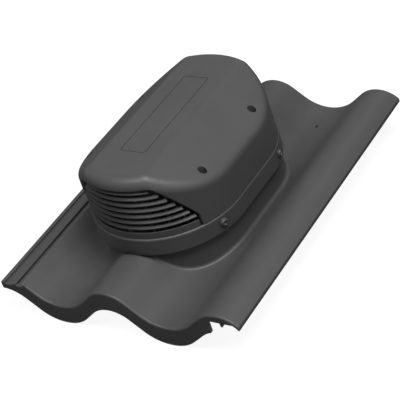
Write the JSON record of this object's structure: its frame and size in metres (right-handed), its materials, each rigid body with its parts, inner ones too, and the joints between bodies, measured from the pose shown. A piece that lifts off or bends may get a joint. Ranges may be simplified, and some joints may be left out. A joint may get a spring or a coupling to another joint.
{
  "type": "roof tile vent",
  "caption": "Moulded plastic tile with rolls and a louvred ventilation hood, laid in place of a double-S roof tile to let air out of the roof space.",
  "frame": {"origin": "middle of the overall footprint, on the plane that the front apron and the batten nibs stand on", "axes": "+X across the roof towards the upper side lap, +Y up the slope towards the ridge, +Z away from the roof"},
  "size_m": [0.3332, 0.426, 0.168],
  "materials": {
    "tile_plastic": "matt anthracite",
    "vent_plastic": "matt anthracite",
    "hood_plastic": "matt anthracite",
    "screw": "dark coated"
  },
  "bodies": {
    "root": {"tile_base": "tile_plastic", "vent_body": "vent_plastic", "hood": "hood_plastic", "ring_screw_1": "screw", "ring_screw_2": "screw", "ring_screw_3": "screw", "ring_screw_4": "screw", "ring_screw_5": "screw", "ring_screw_6": "screw", "hood_screw_1": "screw", "hood_screw_2": "screw", "hood_screw_3": "screw", "hood_screw_4": "screw"}
  },
  "joints": []
}
